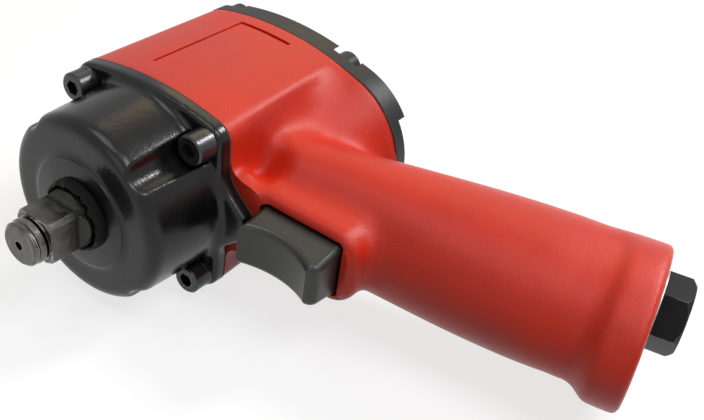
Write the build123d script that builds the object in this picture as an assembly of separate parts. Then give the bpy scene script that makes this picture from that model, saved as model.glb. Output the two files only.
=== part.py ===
from build123d import *
from math import cos, radians, sin, sqrt
import os

# Air impact wrench with a 1/2 inch square drive and twin hammers, lying on its right side.
# X runs back along the drive axis, the handle points to -Y and the tool's left side faces +Z.
# The origin is on the drive axis, at the shoulder that a socket seats against. Sizes in mm.

# Anvil
drive_af = 12.7
drive_corner_d = 16.4
drive_length = 16.6
flat_runout_r = 3.0
nose_d = 12.4
nose_length = 5.0
nose_chamfer = 0.8
ring_groove_d = 7.6
ring_groove_w = 3.0
retainer_d = 12.8
retainer_w = 2.0
retainer_bevel = 0.5
o_ring_section = 1.2
ring_lip = 1.6
centre_hole_d = 2.6
centre_hole_depth = 4.0
shaft_d = 16.8
shaft_out = 2.9
thrust_collar_d = 20.0
thrust_collar_t = 1.4
tail_d = 15.2
lug_d = 19.6
lug_angle = 36.0
lug_clear_angle = 3.0
pilot_d = 9.6
pilot_l = 1.6

# Hammer case
case_length = 28.4
case_d = 57.2
case_front_d = 54.6
case_edge_r = 3.6
case_boss_d = 32.8
case_boss_h = 0.7
case_front_wall = 6.2
case_bore_d = 43.6
flange_t = 3.8
flange_blend = 2.2
flange_edge_r = 1.0
channel_r = 5.6
tongue_tip_y = 36.8
tongue_tip_w = 6.0
tongue_root_y = 25.0
tongue_root_w = 27.0
tongue_blend = 9.0
tongue_tip_r = 2.0
bushing_d = 20.0

# Barrel outline, shared by case flange, gaskets, housing and rear cover
bolt_square = 44.0
corner_r = 5.3
side_bow_r = 96.0
front_lobe_y = 19.5
front_lobe_r = 8.4
rear_lobe_y = 24.2
rear_lobe_r = 26.0
gasket_t = 0.5

# Motor housing
housing_length = 50.6
motor_bore_d = 46.1
panel_groove_w = 1.2
panel_groove_depth = 0.8
panel_y = 8.8
panel_drop = 18.8
panel_front = 7.6
panel_rear = 44.8
block_w = 23.6
block_end_y = 70.2
block_corner_r = 8.0
block_edge_r = 3.4
grip_blend = 4.0
block_blend = 5.0

# Handle
rake = 11.3
grip_set_back = 13.8
grip_length = 139.0
grip_root = 24.0
grip_root_front = 15.5
grip_root_depth = 31.0
grip_root_w = 33.0
grip_neck = 64.0
grip_neck_depth = 37.4
grip_neck_w = 37.0
grip_palm = 103.0
grip_palm_depth = 48.4
grip_palm_w = 38.2
collar_length = 18.5
collar_rise_l = 11.0
collar_flare = 4.6
collar_w = 41.2
grip_end_r = 1.4

# Trigger and throttle valve
trigger_y = 38.9
trigger_h = 26.4
trigger_w = 16.2
trigger_face_w = 12.8
trigger_reach = 9.4
trigger_dish = 3.0
trigger_hook = 0.8
trigger_tip_r = 3.0
trigger_skirt = 4.6
trigger_edge_r = 2.0
trigger_gap = 0.7
trigger_travel = 7.0
trigger_stop = 0.5
slot_corner_r = 2.2
throttle_y = 53.0
throttle_bore_d = 13.0
throttle_bushing_l = 7.0
throttle_port_at = 4.4
throttle_port_d = 4.0
throttle_groove_d = 9.8
pin_d = 5.0
pin_seat = 6.0
pin_in_valve = 2.4
valve_d = 10.4
valve_t = 3.6
valve_gap = 0.3
valve_seal_d = 1.2
valve_seal_ring_d = 7.6
spring_room = 14.0
spring_coil_d = 8.4
spring_wire_d = 1.0
spring_coils = 5

# Reverse valve and regulator knob
spool_y = 35.5
spool_d = 12.0
spool_front = 15.0
spool_waist_d = 7.0
spool_waist_l = 20.0
spool_land = 3.0
spool_hex_af = 6.4
spool_hex_l = 2.6
motor_port_d = 4.0
motor_port_side = 3.6
knob_d = 23.0
knob_h = 4.6
knob_gap = 0.3
knob_flutes = 14
knob_flute_d = 3.0
knob_bar_w = 5.6
knob_bar_h = 2.2
knob_bevel = 0.8
knob_screw_d = 3.0
knob_screw_l = 7.0
knob_screw_head_d = 5.4
knob_screw_head_h = 2.0
knob_screw_slot = 1.0
spool_ring_d = 1.2

# Rear cover
cover_base = 3.9
cover_pad = 4.3
cover_pad_inset = 0.8
cover_notch_r = 6.4
knob_recess_r = 17.0
spigot_d = 46.0
spigot_wall = 4.0

# Bolts
bolt_d = 5.0
bolt_head_d = 8.6
bolt_head_h = 5.0
bolt_head_bevel = 0.5
bolt_socket_af = 4.0
bolt_socket_depth = 2.6
bolt_in = 12.0
bolt_tap_spare = 2.0
washer_d = 8.8
washer_t = 1.2
washer_gap = 1.0

# Hammer cage, hammers and pins
cage_d = 42.4
cage_front_t = 2.4
cage_front_hole_d = 20.4
cage_rear_t = 3.9
web_in_d = 37.2
web_angle = 40.0
hub_d = 18.0
hub_out = 1.8
hammer_t = 6.2
hammer_d = 34.4
hammer_bore_d = 20.4
hammer_rock = 9.0
jaw_in_d = 16.0
jaw_angle = 28.0
hammer_pin_r = 16.2
hammer_pin_d = 6.0
hammer_pin_in = 2.5
side_gap = 0.3

# Motor
bearing_od = 22.0
bearing_id = 10.0
bearing_w = 6.0
race_t = 1.6
race_groove = 0.5
plate_rim = 2.6
cylinder_l = 29.0
cylinder_bore_d = 39.6
cylinder_offset = 1.8
rotor_d = 35.2
rotor_end_gap = 0.1
vane_count = 6
vane_t = 2.0
vane_h = 8.0
vane_proud = 0.2
vane_floor = 0.4
spline_d = 9.4
spline_root_d = 7.4
spline_teeth = 6
spline_tooth_w = 2.0
spline_gap = 0.1
dowel_d = 3.0
dowel_l = 9.0

# Air inlet and exhaust in the handle end
inlet_back = 7.0
inlet_hex_af = 19.0
inlet_hex_h = 7.6
inlet_neck_d = 15.0
inlet_neck_l = 17.0
inlet_thread_d = 11.5
inlet_thread_l = 12.0
inlet_passage_d = 9.0
inlet_washer_d = 21.6
inlet_washer_t = 1.0
screen_d = 11.0
screen_t = 1.4
screen_holes = 6
screen_pcd = 5.4
screen_hole_d = 1.8
exhaust_front = 11.0
exhaust_l = 18.0
exhaust_w = 26.0
exhaust_depth = 13.0
exhaust_d = 5.6
exhaust_side = 10.6
exhaust_bore_front = 6.0
deflector_t = 2.6
deflector_recess = 1.0
deflector_slots = 5
deflector_slot_w = 1.8
deflector_rim = 2.0
muffler_t = 7.0

# Fits on the radius
running = 0.05
snug = 0.02
loose = 0.25

# Stations along the drive axis
x_tip = -drive_length
x_nose = x_tip + nose_length
x_face = shaft_out
x_wall = x_face + case_front_wall
x_joint = x_face + case_length
x_flange = x_joint - flange_t
x_housing = x_joint + gasket_t
x_rear = x_housing + housing_length
x_grip = x_joint + grip_set_back
x_cover = x_rear + gasket_t
x_base = x_cover + cover_base
x_end = x_base + cover_pad
x_collar = x_wall + side_gap
x_cage = x_collar + thrust_collar_t + side_gap
x_hammer_1 = x_cage + cage_front_t + side_gap
x_hammer_2 = x_hammer_1 + hammer_t + side_gap
x_cage_rear = x_hammer_2 + hammer_t + side_gap
x_cage_back = x_cage_rear + cage_rear_t
x_pilot = x_cage_rear + pilot_l
x_bearing_1 = x_joint + plate_rim
x_cylinder = x_bearing_1 + bearing_w
x_plate_2 = x_cylinder + cylinder_l
x_bearing_2 = x_plate_2 + plate_rim
x_plate_back = x_bearing_2 + bearing_w
x_slot = x_housing + trigger_skirt + trigger_travel + trigger_stop
x_seat = x_slot + throttle_bushing_l
x_valve = x_seat + valve_gap
x_spring = x_valve + valve_t
x_throttle_end = x_spring + spring_room
x_port = x_slot + throttle_port_at
x_spool = x_housing + spool_front
x_knob = x_base + knob_gap
x_motor_port = x_bearing_2 + bearing_w / 2

bolt_c = bolt_square / 2
corners = [(y, z) for y in (bolt_c, -bolt_c) for z in (bolt_c, -bolt_c)]
bow_c = sqrt((side_bow_r - corner_r) ** 2 - bolt_c**2) - bolt_c
crown = side_bow_r - bow_c

# Handle frame: local x goes back, local y is +Z, local z runs down the handle
grip_frame = Plane(
    origin=(x_grip, 0, 0),
    x_dir=(cos(radians(rake)), sin(radians(rake)), 0),
    z_dir=(sin(radians(rake)), -cos(radians(rake)), 0),
)


# Round bar or hole parallel to the drive axis
def bar(x0, x1, d, y=0.0, z=0.0):
    return Pos((x0 + x1) / 2, y, z) * Rot(0, 90, 0) * Cylinder(d / 2, x1 - x0)


def ring(x0, x1, d_out, d_in, y=0.0, z=0.0):
    return bar(x0, x1, d_out, y, z) - bar(x0, x1, d_in, y, z)


# Outline in the Y-Z plane drawn out along the drive axis
def plate(outline, x0, x1):
    return extrude(Plane.YZ.offset(x0) * outline, x1 - x0)


# Closed profile of (x, radius) points turned about the drive axis
def turned(*profile):
    return revolve(make_face(Polyline(*profile, close=True)), Axis.X)


# Round bar or hole parallel to the handle
def grip_bar(t0, t1, d, back=0.0, side=0.0):
    return grip_frame * Pos(back, side, (t0 + t1) / 2) * Cylinder(d / 2, t1 - t0)


def grip_plate(outline, t0, t1):
    return extrude(grip_frame.offset(t0) * outline, t1 - t0)


# Round hole or pin along Y
def cross_bar(x, y0, y1, d, z=0.0):
    return Pos(x, (y0 + y1) / 2, z) * Rot(90, 0, 0) * Cylinder(d / 2, y1 - y0)


# Rubber ring of eight-sided section, round a middle diameter
def o_ring(x, ring_d, section_d, y=0.0):
    section = Pos(x, ring_d / 2) * RegularPolygon(section_d / 2, 8)
    return Pos(0, y, 0) * revolve(section, Axis.X)


def hexagon(af):
    return RegularPolygon(af / 2, 6, major_radius=False)


# Part of a ring between two diameters, from the start angle through the sweep
def sector(d_in, d_out, start, sweep_angle):
    angles = [radians(start + share * sweep_angle) for share in (0, 0.5, 1)]
    inner = [(d_in / 2 * cos(a), d_in / 2 * sin(a)) for a in angles]
    outer = [(d_out / 2 * cos(a), d_out / 2 * sin(a)) for a in angles]
    sides = [Line(inner[0], outer[0]), Line(inner[2], outer[2])]
    return make_face([ThreePointArc(*inner), ThreePointArc(*outer)] + sides)


# Arc of radius r about a centre, from one normal to another
def round_on(centre, r, n_start, n_end):
    n_mid = (n_start + n_end).normalized()
    return ThreePointArc(centre + n_start * r, centre + n_mid * r, centre + n_end * r)


# Square with bowed sides round the four bolts, drawn out to a round lobe on the handle side
def barrel_outline(lobe_y, lobe_r, inset=0.0):
    corner, side, end = corner_r - inset, side_bow_r - inset, lobe_r - inset
    top_c, low_c = Vector(bolt_c, bolt_c), Vector(-bolt_c, bolt_c)
    side_c, back_c, lobe_c = Vector(0, -bow_c), Vector(-bow_c, 0), Vector(-lobe_y, 0)
    n_back = (top_c - back_c).normalized()
    n_top = (top_c - side_c).normalized()
    n_low = (low_c - side_c).normalized()
    along = (lobe_c - low_c).normalized()
    lean = (corner - end) / (lobe_c - low_c).length
    n_flank = along * lean + Vector(along.Y, -along.X) * sqrt(1 - lean**2)
    upper = [
        round_on(top_c, corner, n_back, n_top),
        round_on(side_c, side, n_top, n_low),
        round_on(low_c, corner, n_low, n_flank),
        Line(low_c + n_flank * corner, lobe_c + n_flank * end),
    ]
    lower = [edge.mirror(Plane.XZ) for edge in reversed(upper)]
    lobe = round_on(lobe_c, end, n_flank, Vector(n_flank.X, -n_flank.Y))
    back = round_on(back_c, side, Vector(n_back.X, -n_back.Y), n_back)
    return make_face(upper + [lobe] + lower + [back])


front_outline = barrel_outline(front_lobe_y, front_lobe_r)
rear_outline = barrel_outline(rear_lobe_y, rear_lobe_r)


# Front outline with the tongue that reaches down to the trigger
def make_flange_outline():
    root, tip = tongue_root_w / 2, tongue_tip_w / 2
    points = [(-tongue_root_y, root), (-tongue_tip_y, tip), (-tongue_tip_y, -tip), (-tongue_root_y, -root)]
    tongue = make_face(Polyline(*points, close=True))
    tip_corners = tongue.vertices().sort_by(Axis.X)[:2]
    tongue = fillet(tip_corners, tongue_tip_r)
    outline = front_outline + tongue
    inner = [v for v in outline.vertices() if v.X > -tongue_tip_y + tongue_tip_r * 2]
    inner = [v for v in inner if abs(v.Y) < root and v.X < -bolt_c]
    inner = ShapeList(inner).sort_by(Axis.X)[-2:]
    return fillet(inner, tongue_blend)


flange_outline = make_flange_outline()


def bolt_holes(x0, x1, d):
    return [bar(x0, x1, d, y, z) for y, z in corners]


# Four cap screws, heads on the side given by out: -1 for the front, 1 for the back
def socket_bolts(x_seat_face, out, grip):
    head_end = x_seat_face + out * bolt_head_h
    socket_floor = head_end - out * bolt_socket_depth
    shank_end = x_seat_face - out * (grip + bolt_in)
    head = bar(*sorted((x_seat_face, head_end)), bolt_head_d)
    rim = head.edges().sort_by(Axis.X)[0 if out < 0 else -1]
    bolt = chamfer(rim, bolt_head_bevel)
    bolt -= plate(hexagon(bolt_socket_af), *sorted((socket_floor, head_end)))
    bolt += bar(*sorted((x_seat_face, shank_end)), bolt_d - 2 * snug)
    return [Pos(0, y, z) * bolt for y, z in corners]


# Split spring washers under the bolt heads
def lock_washers(x0):
    washer = ring(x0, x0 + washer_t, washer_d, bolt_d + 2 * snug)
    washer -= Pos(x0 + washer_t / 2, washer_d / 2, 0) * Box(washer_t, washer_d, washer_gap)
    return [Pos(0, y, z) * washer for y, z in corners]


def coil_spring(x0, x1, y):
    pitch = (x1 - x0 - spring_wire_d) / spring_coils
    path = Helix(pitch, pitch * spring_coils, spring_coil_d / 2)
    section = Plane(path @ 0, z_dir=path % 0) * RegularPolygon(spring_wire_d / 2, 6)
    wire = sweep(section, path)
    return Pos(x0 + spring_wire_d / 2, y, 0) * Rot(0, 90, 0) * wire


def make_anvil():
    nose_r, corner_d_r = nose_d / 2, drive_corner_d / 2
    anvil = turned(
        (x_tip, 0),
        (x_tip, nose_r - nose_chamfer),
        (x_tip + nose_chamfer, nose_r),
        (x_nose, nose_r),
        (x_nose, corner_d_r - nose_chamfer),
        (x_nose + nose_chamfer, corner_d_r),
        (0, corner_d_r),
        (0, shaft_d / 2),
        (x_collar, shaft_d / 2),
        (x_collar, thrust_collar_d / 2),
        (x_collar + thrust_collar_t, thrust_collar_d / 2),
        (x_collar + thrust_collar_t, tail_d / 2),
        (x_cage_rear - side_gap, tail_d / 2),
        (x_cage_rear - side_gap, pilot_d / 2),
        (x_pilot, pilot_d / 2),
        (x_pilot, 0),
    )
    flat = Pos(x_tip / 2, drive_af, 0) * Box(-x_tip, drive_af, drive_corner_d * 2)
    inner_edge = flat.edges().filter_by(Axis.Z).sort_by_distance((0, drive_af / 2, 0))[:2]
    inner_edge = [e for e in inner_edge if abs(e.center().X) < side_gap]
    flat = fillet(inner_edge, flat_runout_r) & bar(x_nose, 0, drive_corner_d * 2)
    for index in range(4):
        anvil -= Rot(index * 90, 0, 0) * flat
    groove = x_tip + ring_lip
    anvil -= ring(groove, groove + ring_groove_w, nose_d * 2, ring_groove_d)
    anvil -= bar(x_tip, x_tip + centre_hole_depth, centre_hole_d)
    for x_lug, turn in ((x_hammer_1, 0), (x_hammer_2, 180)):
        start = turn - jaw_angle / 2 - lug_clear_angle - lug_angle
        lug = sector(pilot_d, lug_d, start, lug_angle)
        anvil += plate(lug, x_lug, x_lug + hammer_t)
    return anvil


# Split steel ring in the nose groove, backed by a rubber ring
def make_retainer_ring():
    x0 = x_tip + ring_lip + (ring_groove_w - retainer_w) / 2
    x1 = x0 + retainer_w
    r_out, r_in = retainer_d / 2, ring_groove_d / 2 + o_ring_section
    body = turned(
        (x0, r_in),
        (x0, r_out - retainer_bevel),
        (x0 + retainer_bevel, r_out),
        (x1 - retainer_bevel, r_out),
        (x1, r_out - retainer_bevel),
        (x1, r_in),
    )
    return body - Pos((x0 + x1) / 2, 0, -retainer_d / 2) * Box(ring_groove_w, washer_gap, retainer_d)


def make_retainer_o_ring():
    return o_ring(x_tip + ring_lip + ring_groove_w / 2, ring_groove_d + o_ring_section, o_ring_section)


def make_hammer_case():
    x_rim = x_face + case_boss_h
    profile = make_face(
        Polyline(
            (x_face, 0),
            (x_face, case_boss_d / 2),
            (x_rim, case_boss_d / 2),
            (x_rim, case_front_d / 2),
            (x_joint, case_d / 2),
            (x_joint, 0),
            close=True,
        )
    )
    front_edge = profile.vertices().sort_by_distance((x_rim, case_front_d / 2, 0))[0]
    cup = revolve(fillet(front_edge, case_edge_r), Axis.X)
    flange = plate(flange_outline, x_flange, x_joint)
    flange = fillet(flange.faces().sort_by(Axis.X)[0].edges(), flange_edge_r)
    case = cup + flange
    case = fillet(new_edges(cup, flange, combined=case), flange_blend)
    case -= bar(x_wall, x_joint, case_bore_d)
    case -= bar(x_face, x_wall, bushing_d)
    case -= bolt_holes(x_face, x_flange, 2 * channel_r)
    case -= bolt_holes(x_flange, x_joint, bolt_d + 2 * loose)
    return case


def make_anvil_bushing():
    return ring(x_face, x_wall, bushing_d - 2 * snug, shaft_d + 2 * running)


def make_front_gasket():
    gasket = plate(flange_outline, x_joint, x_housing) - bar(x_joint, x_housing, motor_bore_d)
    return gasket - bolt_holes(x_joint, x_housing, bolt_d + 2 * loose)


# Cage: a turned cup with a splined hub, windowed so that webs remain behind the hammer pins
def make_hammer_cage():
    x_inner = x_cage + cage_front_t
    cage = turned(
        (x_cage, cage_front_hole_d / 2),
        (x_cage, cage_d / 2),
        (x_cage_back, cage_d / 2),
        (x_cage_back, hub_d / 2),
        (x_cage_back + hub_out, hub_d / 2),
        (x_cage_back + hub_out, 0),
        (x_cage_rear, 0),
        (x_cage_rear, web_in_d / 2),
        (x_inner, web_in_d / 2),
        (x_inner, cage_front_hole_d / 2),
    )
    window_angle = 180 - web_angle
    for middle in (0, 180):
        window = sector(hammer_d, case_bore_d, middle - window_angle / 2, window_angle)
        cage -= plate(window, x_inner, x_cage_rear)
    cage -= bar(x_cage_rear, x_pilot + side_gap, pilot_d + 2 * running)
    cage -= spline(x_pilot, x_cage_back + hub_out, spline_gap)
    for z in (hammer_pin_r, -hammer_pin_r):
        cage -= bar(x_cage, x_cage_rear + hammer_pin_in + side_gap, hammer_pin_d + 2 * snug, 0, z)
    return cage


# Splined end of the rotor shaft, grown by a gap on every face for its socket
def spline(x0, x1, gap=0.0):
    shape = Circle(spline_root_d / 2 + gap)
    tooth = Rectangle(spline_d, spline_tooth_w + 2 * gap)
    for index in range(spline_teeth // 2):
        shape += Rot(0, 0, index * 360 / spline_teeth) * tooth
    shape &= Circle(spline_d / 2 + gap)
    return plate(shape, x0, x1)


# Ring-shaped hammer that rocks on its pin, with one jaw on its bore and a notch for the other pin
def make_hammer(x0, turn):
    pivot = Vector(0, hammer_pin_r)
    rock = radians(hammer_rock)
    outline = Circle(hammer_d / 2)
    for share in (0, 0.5, 1):
        y = -hammer_pin_r * sin(share * rock)
        z = hammer_pin_r * (1 - cos(share * rock))
        outline -= Pos(y, z) * Circle(hammer_bore_d / 2)
    jaw_out_d = hammer_bore_d + 2 * hammer_pin_r * sin(rock)
    jaw = sector(jaw_in_d, jaw_out_d, -jaw_angle / 2, jaw_angle)
    outline += jaw & Circle(hammer_d / 2)
    outline -= Pos(pivot) * Circle(hammer_pin_d / 2 + running)
    reach = 2 * hammer_pin_r
    notch_w = hammer_pin_d + 2 * loose
    notch = sector(2 * reach - notch_w, 2 * reach + notch_w, 270 - hammer_rock, hammer_rock)
    outline -= Pos(pivot) * notch
    for share in (0, 1):
        end = Vector(-reach * sin(share * rock), -reach * cos(share * rock))
        outline -= Pos(pivot + end) * Circle(notch_w / 2)
    return Rot(turn, 0, 0) * plate(outline, x0, x0 + hammer_t)


def make_hammer_pins():
    x1 = x_cage_rear + hammer_pin_in
    return [bar(x_cage, x1, hammer_pin_d, 0, z) for z in (hammer_pin_r, -hammer_pin_r)]


# Shielded ball bearing as one piece, with its races marked by grooves in both faces
def make_bearing(x0):
    x1 = x0 + bearing_w
    bearing = ring(x0, x1, bearing_od - 2 * snug, bearing_id)
    for x_groove in (x0, x1 - race_groove):
        shield = ring(x_groove, x_groove + race_groove, bearing_od - 2 * race_t, bearing_id + 2 * race_t)
        bearing -= shield
    return bearing


dowel_r = motor_bore_d / 2 - running - (motor_bore_d / 2 - cylinder_bore_d / 2 + cylinder_offset) / 2


def make_front_end_plate():
    disc = bar(x_joint, x_cylinder, motor_bore_d - 2 * running)
    disc -= bar(x_joint, x_bearing_1, hub_d + 2 * loose)
    disc -= bar(x_bearing_1, x_cylinder, bearing_od)
    return disc - bar(x_cylinder - dowel_l / 2, x_cylinder, dowel_d, -dowel_r)


def exhaust_bores(t0, t1, d):
    return [grip_bar(t0, t1, d, -exhaust_bore_front, side) for side in (exhaust_side, -exhaust_side)]


def make_motor_cylinder():
    cylinder = bar(x_cylinder, x_plate_2, motor_bore_d - 2 * running)
    cylinder -= bar(x_cylinder, x_plate_2, cylinder_bore_d, cylinder_offset)
    cylinder -= exhaust_bores(0, grip_neck, exhaust_d)
    for x0 in (x_cylinder, x_plate_2 - dowel_l / 2):
        cylinder -= bar(x0, x0 + dowel_l / 2, dowel_d, -dowel_r)
    return cylinder


def make_cylinder_dowels():
    dowels = []
    for x in (x_cylinder, x_plate_2):
        dowels.append(bar(x - dowel_l / 2, x + dowel_l / 2, dowel_d - 2 * snug, -dowel_r))
    return dowels


def make_rotor():
    x0, x1 = x_cylinder + rotor_end_gap, x_plate_2 - rotor_end_gap
    journal_d = bearing_id - 2 * running
    rotor = bar(x0, x1, rotor_d)
    rotor += bar(x_bearing_1, x0, journal_d)
    rotor += bar(x1, x_plate_back, journal_d)
    rotor += spline(x_pilot + 2 * side_gap, x_bearing_1)
    slot_h = vane_h + vane_floor
    for index in range(vane_count):
        slot = Pos((x0 + x1) / 2, rotor_d / 2 - slot_h / 2, 0) * Box(x1 - x0, slot_h, vane_t + 2 * running)
        rotor -= Rot(index * 360 / vane_count, 0, 0) * slot
    return rotor


def make_rotor_vanes():
    x0, x1 = x_cylinder + rotor_end_gap, x_plate_2 - rotor_end_gap
    middle = rotor_d / 2 + vane_proud - vane_h / 2
    vane = Pos((x0 + x1) / 2, middle, 0) * Box(x1 - x0, vane_h, vane_t)
    return [Rot(index * 360 / vane_count, 0, 0) * vane for index in range(vane_count)]


def motor_ports(y0, y1):
    return [cross_bar(x_motor_port, y0, y1, motor_port_d, z) for z in (motor_port_side, -motor_port_side)]


def make_rear_end_plate():
    disc = bar(x_plate_2, x_plate_back, motor_bore_d - 2 * running)
    disc -= bar(x_bearing_2, x_plate_back, bearing_od)
    disc -= bar(x_plate_2, x_bearing_2, bearing_id + 2 * loose)
    disc -= bar(x_plate_2, x_plate_2 + dowel_l / 2, dowel_d, -dowel_r)
    port_y = -(bearing_od / 2 + motor_bore_d / 2) / 2
    disc -= motor_ports(-motor_bore_d / 2, port_y)
    for z in (motor_port_side, -motor_port_side):
        disc -= bar(x_plate_2, x_motor_port, motor_port_d, port_y, z)
    return disc


# Engraved corner frame on the flat side of the barrel
def panel_groove():
    floor = barrel_outline(front_lobe_y, front_lobe_r, panel_groove_depth)
    skin = plate(front_outline - floor, x_housing, x_rear)
    x0, x1 = x_housing + panel_front, x_housing + panel_rear
    long_leg = Pos((x0 + x1) / 2, panel_y, crown) * Box(x1 - x0, panel_groove_w, corner_r)
    middle_y = panel_y - panel_drop / 2
    short_leg = Pos(x1, middle_y, crown) * Box(panel_groove_w, panel_drop + panel_groove_w, corner_r)
    return skin & (long_leg + short_leg)


def grip_section(t, depth, width, shift=0.0):
    return grip_frame.offset(t) * Pos(shift, 0) * Rot(0, 0, 90) * Ellipse(width / 2, depth / 2)


# Handle drawn through oval sections, swelling to the front into a band at its end
def make_grip():
    t_collar = grip_length - collar_length
    t_band = t_collar + collar_rise_l
    root_shift = grip_root_depth / 2 - grip_root_front
    shaft = loft(
        [
            grip_section(grip_root, grip_root_depth, grip_root_w, root_shift),
            grip_section(grip_neck, grip_neck_depth, grip_neck_w),
            grip_section(grip_palm, grip_palm_depth, grip_palm_w),
            grip_section(t_collar, grip_palm_depth, grip_palm_w),
        ]
    )
    swell = []
    for share in (0, 0.25, 0.5, 0.75, 1):
        growth = share * share * (3 - 2 * share)
        depth = grip_palm_depth + collar_flare * growth
        width = grip_palm_w + (collar_w - grip_palm_w) * growth
        swell.append(grip_section(t_collar + collar_rise_l * share, depth, width, -collar_flare / 2 * growth))
    band = extrude(swell[-1], grip_length - t_band)
    end = band.faces().filter_by(GeomType.PLANE).sort_by(Axis.Y)[0]
    band = fillet(end.edges(), grip_end_r)
    return shaft + loft(swell) + band


def block_outline(spare=0.0):
    y0, y1 = -block_end_y - spare, -bolt_c + block_corner_r + spare
    return Pos((y0 + y1) / 2, 0) * RectangleRounded(y1 - y0, block_w + 2 * spare, block_corner_r + spare)


# What the rounding takes off the front edge of the trigger block, below the flange tongue
def block_rounding():
    wide = block_outline(loose)
    edge_r = block_edge_r + loose
    block = plate(wide, x_housing, x_grip)
    rounded = fillet(block.faces().sort_by(Axis.X)[0].edges(), edge_r)
    slab = plate(wide, x_housing - loose, x_housing + edge_r)
    below = Pos(x_housing, -tongue_tip_y - block_end_y / 2, 0) * Box(2 * edge_r, block_end_y, 2 * block_w)
    return (slab & below) - rounded


def exhaust_outline(gap=0.0):
    return Pos(-exhaust_front, 0) * Ellipse(exhaust_l / 2 - gap, exhaust_w / 2 - gap)


def make_motor_housing():
    front = Plane.YZ.offset(x_housing) * front_outline
    rear = Plane.YZ.offset(x_rear) * rear_outline
    barrel = loft([front, rear], ruled=True)
    grip = make_grip()
    casting = barrel + grip
    casting = fillet(new_edges(barrel, grip, combined=casting), grip_blend)
    block = plate(block_outline(), x_housing, x_grip)
    housing = casting + block
    housing = fillet(new_edges(casting, block, combined=housing), block_blend)
    housing -= block_rounding()
    housing -= panel_groove()
    housing -= mirror(panel_groove(), Plane.XY)
    housing -= bar(x_housing, x_rear, motor_bore_d)
    housing -= bolt_holes(x_housing, x_housing + bolt_in + bolt_tap_spare, bolt_d)
    housing -= bolt_holes(x_rear - bolt_in - bolt_tap_spare, x_rear, bolt_d)
    housing -= trigger_slot()
    housing -= bar(x_slot, x_throttle_end, throttle_bore_d, -throttle_y)
    housing -= bar(x_spool, x_rear, spool_d + 2 * running, -spool_y)
    housing -= cross_bar(x_port, -throttle_y, -spool_y, throttle_port_d)
    housing -= motor_ports(-spool_y, -motor_bore_d / 2 + motor_port_d)
    t_exhaust = grip_length - exhaust_depth
    housing -= exhaust_bores(0, t_exhaust, exhaust_d)
    housing -= grip_plate(exhaust_outline(), t_exhaust, grip_length)
    housing -= grip_bar(throttle_y, grip_length, inlet_passage_d, inlet_back)
    housing -= grip_bar(grip_length - inlet_neck_l, grip_length, inlet_neck_d, inlet_back)
    return housing


def trigger_slot():
    middle_y = -(trigger_y + trigger_h / 2)
    mouth = RectangleRounded(trigger_h + 2 * trigger_gap, trigger_w + 2 * trigger_gap, slot_corner_r)
    return plate(Pos(middle_y, 0) * mouth, x_housing, x_slot)


# Trigger with a dished finger face and a hooked lower tip
def make_trigger():
    x_back, x_front = x_housing + trigger_skirt, x_housing - trigger_reach
    x_hook = x_front - trigger_hook
    y_top, y_low = -trigger_y, -(trigger_y + trigger_h)
    y_tip = y_low + trigger_tip_r
    dish = ThreePointArc(
        (x_front, y_top),
        ((x_front + x_hook) / 2 + trigger_dish, (y_top + y_tip) / 2),
        (x_hook, y_tip),
    )
    tip = round_on(Vector(x_hook + trigger_tip_r, y_tip), trigger_tip_r, Vector(-1, 0), Vector(0, -1))
    rest = Polyline((x_hook + trigger_tip_r, y_low), (x_back, y_low), (x_back, y_top), (x_front, y_top))
    trigger = extrude(make_face([dish, tip, rest]), trigger_w / 2, both=True)
    wide, narrow = trigger_w / 2, trigger_face_w / 2
    plan = make_face(
        Polyline(
            (x_back, wide),
            (x_housing, wide),
            (x_hook, narrow),
            (x_hook, -narrow),
            (x_housing, -wide),
            (x_back, -wide),
            close=True,
        )
    )
    trigger &= Plane.XZ * extrude(plan, 2 * trigger_y + trigger_h, both=True)
    rims = [e for e in trigger.edges() if e.center().X < x_housing - trigger_gap]
    rims = [e for e in rims if abs(e.center().Z) > narrow / 2]
    trigger = fillet(rims, trigger_edge_r)
    return trigger - bar(x_back - pin_seat, x_back, pin_d, -throttle_y)


def make_trigger_pin():
    x0 = x_housing + trigger_skirt - pin_seat
    return bar(x0, x_valve + pin_in_valve, pin_d - 2 * snug, -throttle_y)


def make_throttle_bushing():
    bushing = ring(x_slot, x_seat, throttle_bore_d - 2 * snug, pin_d + 2 * running, -throttle_y)
    x0, x1 = x_port - throttle_port_d / 2, x_port + throttle_port_d / 2
    return bushing - ring(x0, x1, throttle_bore_d, throttle_groove_d, -throttle_y)


def make_throttle_valve():
    valve = bar(x_valve, x_spring, valve_d, -throttle_y)
    valve -= bar(x_valve, x_valve + pin_in_valve, pin_d, -throttle_y)
    seal = valve_seal_d + 2 * snug
    outer_d, inner_d = valve_seal_ring_d + seal, valve_seal_ring_d - seal
    return valve - ring(x_valve, x_valve + seal, outer_d, inner_d, -throttle_y)


def make_throttle_seal():
    return o_ring(x_valve + valve_seal_d / 2 + snug, valve_seal_ring_d, valve_seal_d, -throttle_y)


def make_throttle_spring():
    return coil_spring(x_spring, x_throttle_end, -throttle_y)


# Rotary spool with a waist that joins the throttle port to one of the two motor ports
def make_reverse_valve():
    spool = bar(x_spool + side_gap, x_base, spool_d, -spool_y)
    waist = x_spool + side_gap + spool_land
    spool -= ring(waist, waist + spool_waist_l, spool_d * 2, spool_waist_d, -spool_y)
    x_groove = (x_cover + x_base - spool_ring_d) / 2
    spool -= ring(x_groove, x_groove + spool_ring_d, 2 * spool_d, spool_d - 2 * spool_ring_d, -spool_y)
    x_stub = x_knob + spool_hex_l
    spool += plate(Pos(-spool_y, 0) * hexagon(spool_hex_af), x_base, x_stub)
    return spool - bar(x_stub - knob_screw_l, x_stub, knob_screw_d, -spool_y)


def make_spool_o_ring():
    return o_ring((x_cover + x_base) / 2, spool_d - spool_ring_d, spool_ring_d, -spool_y)


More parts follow.
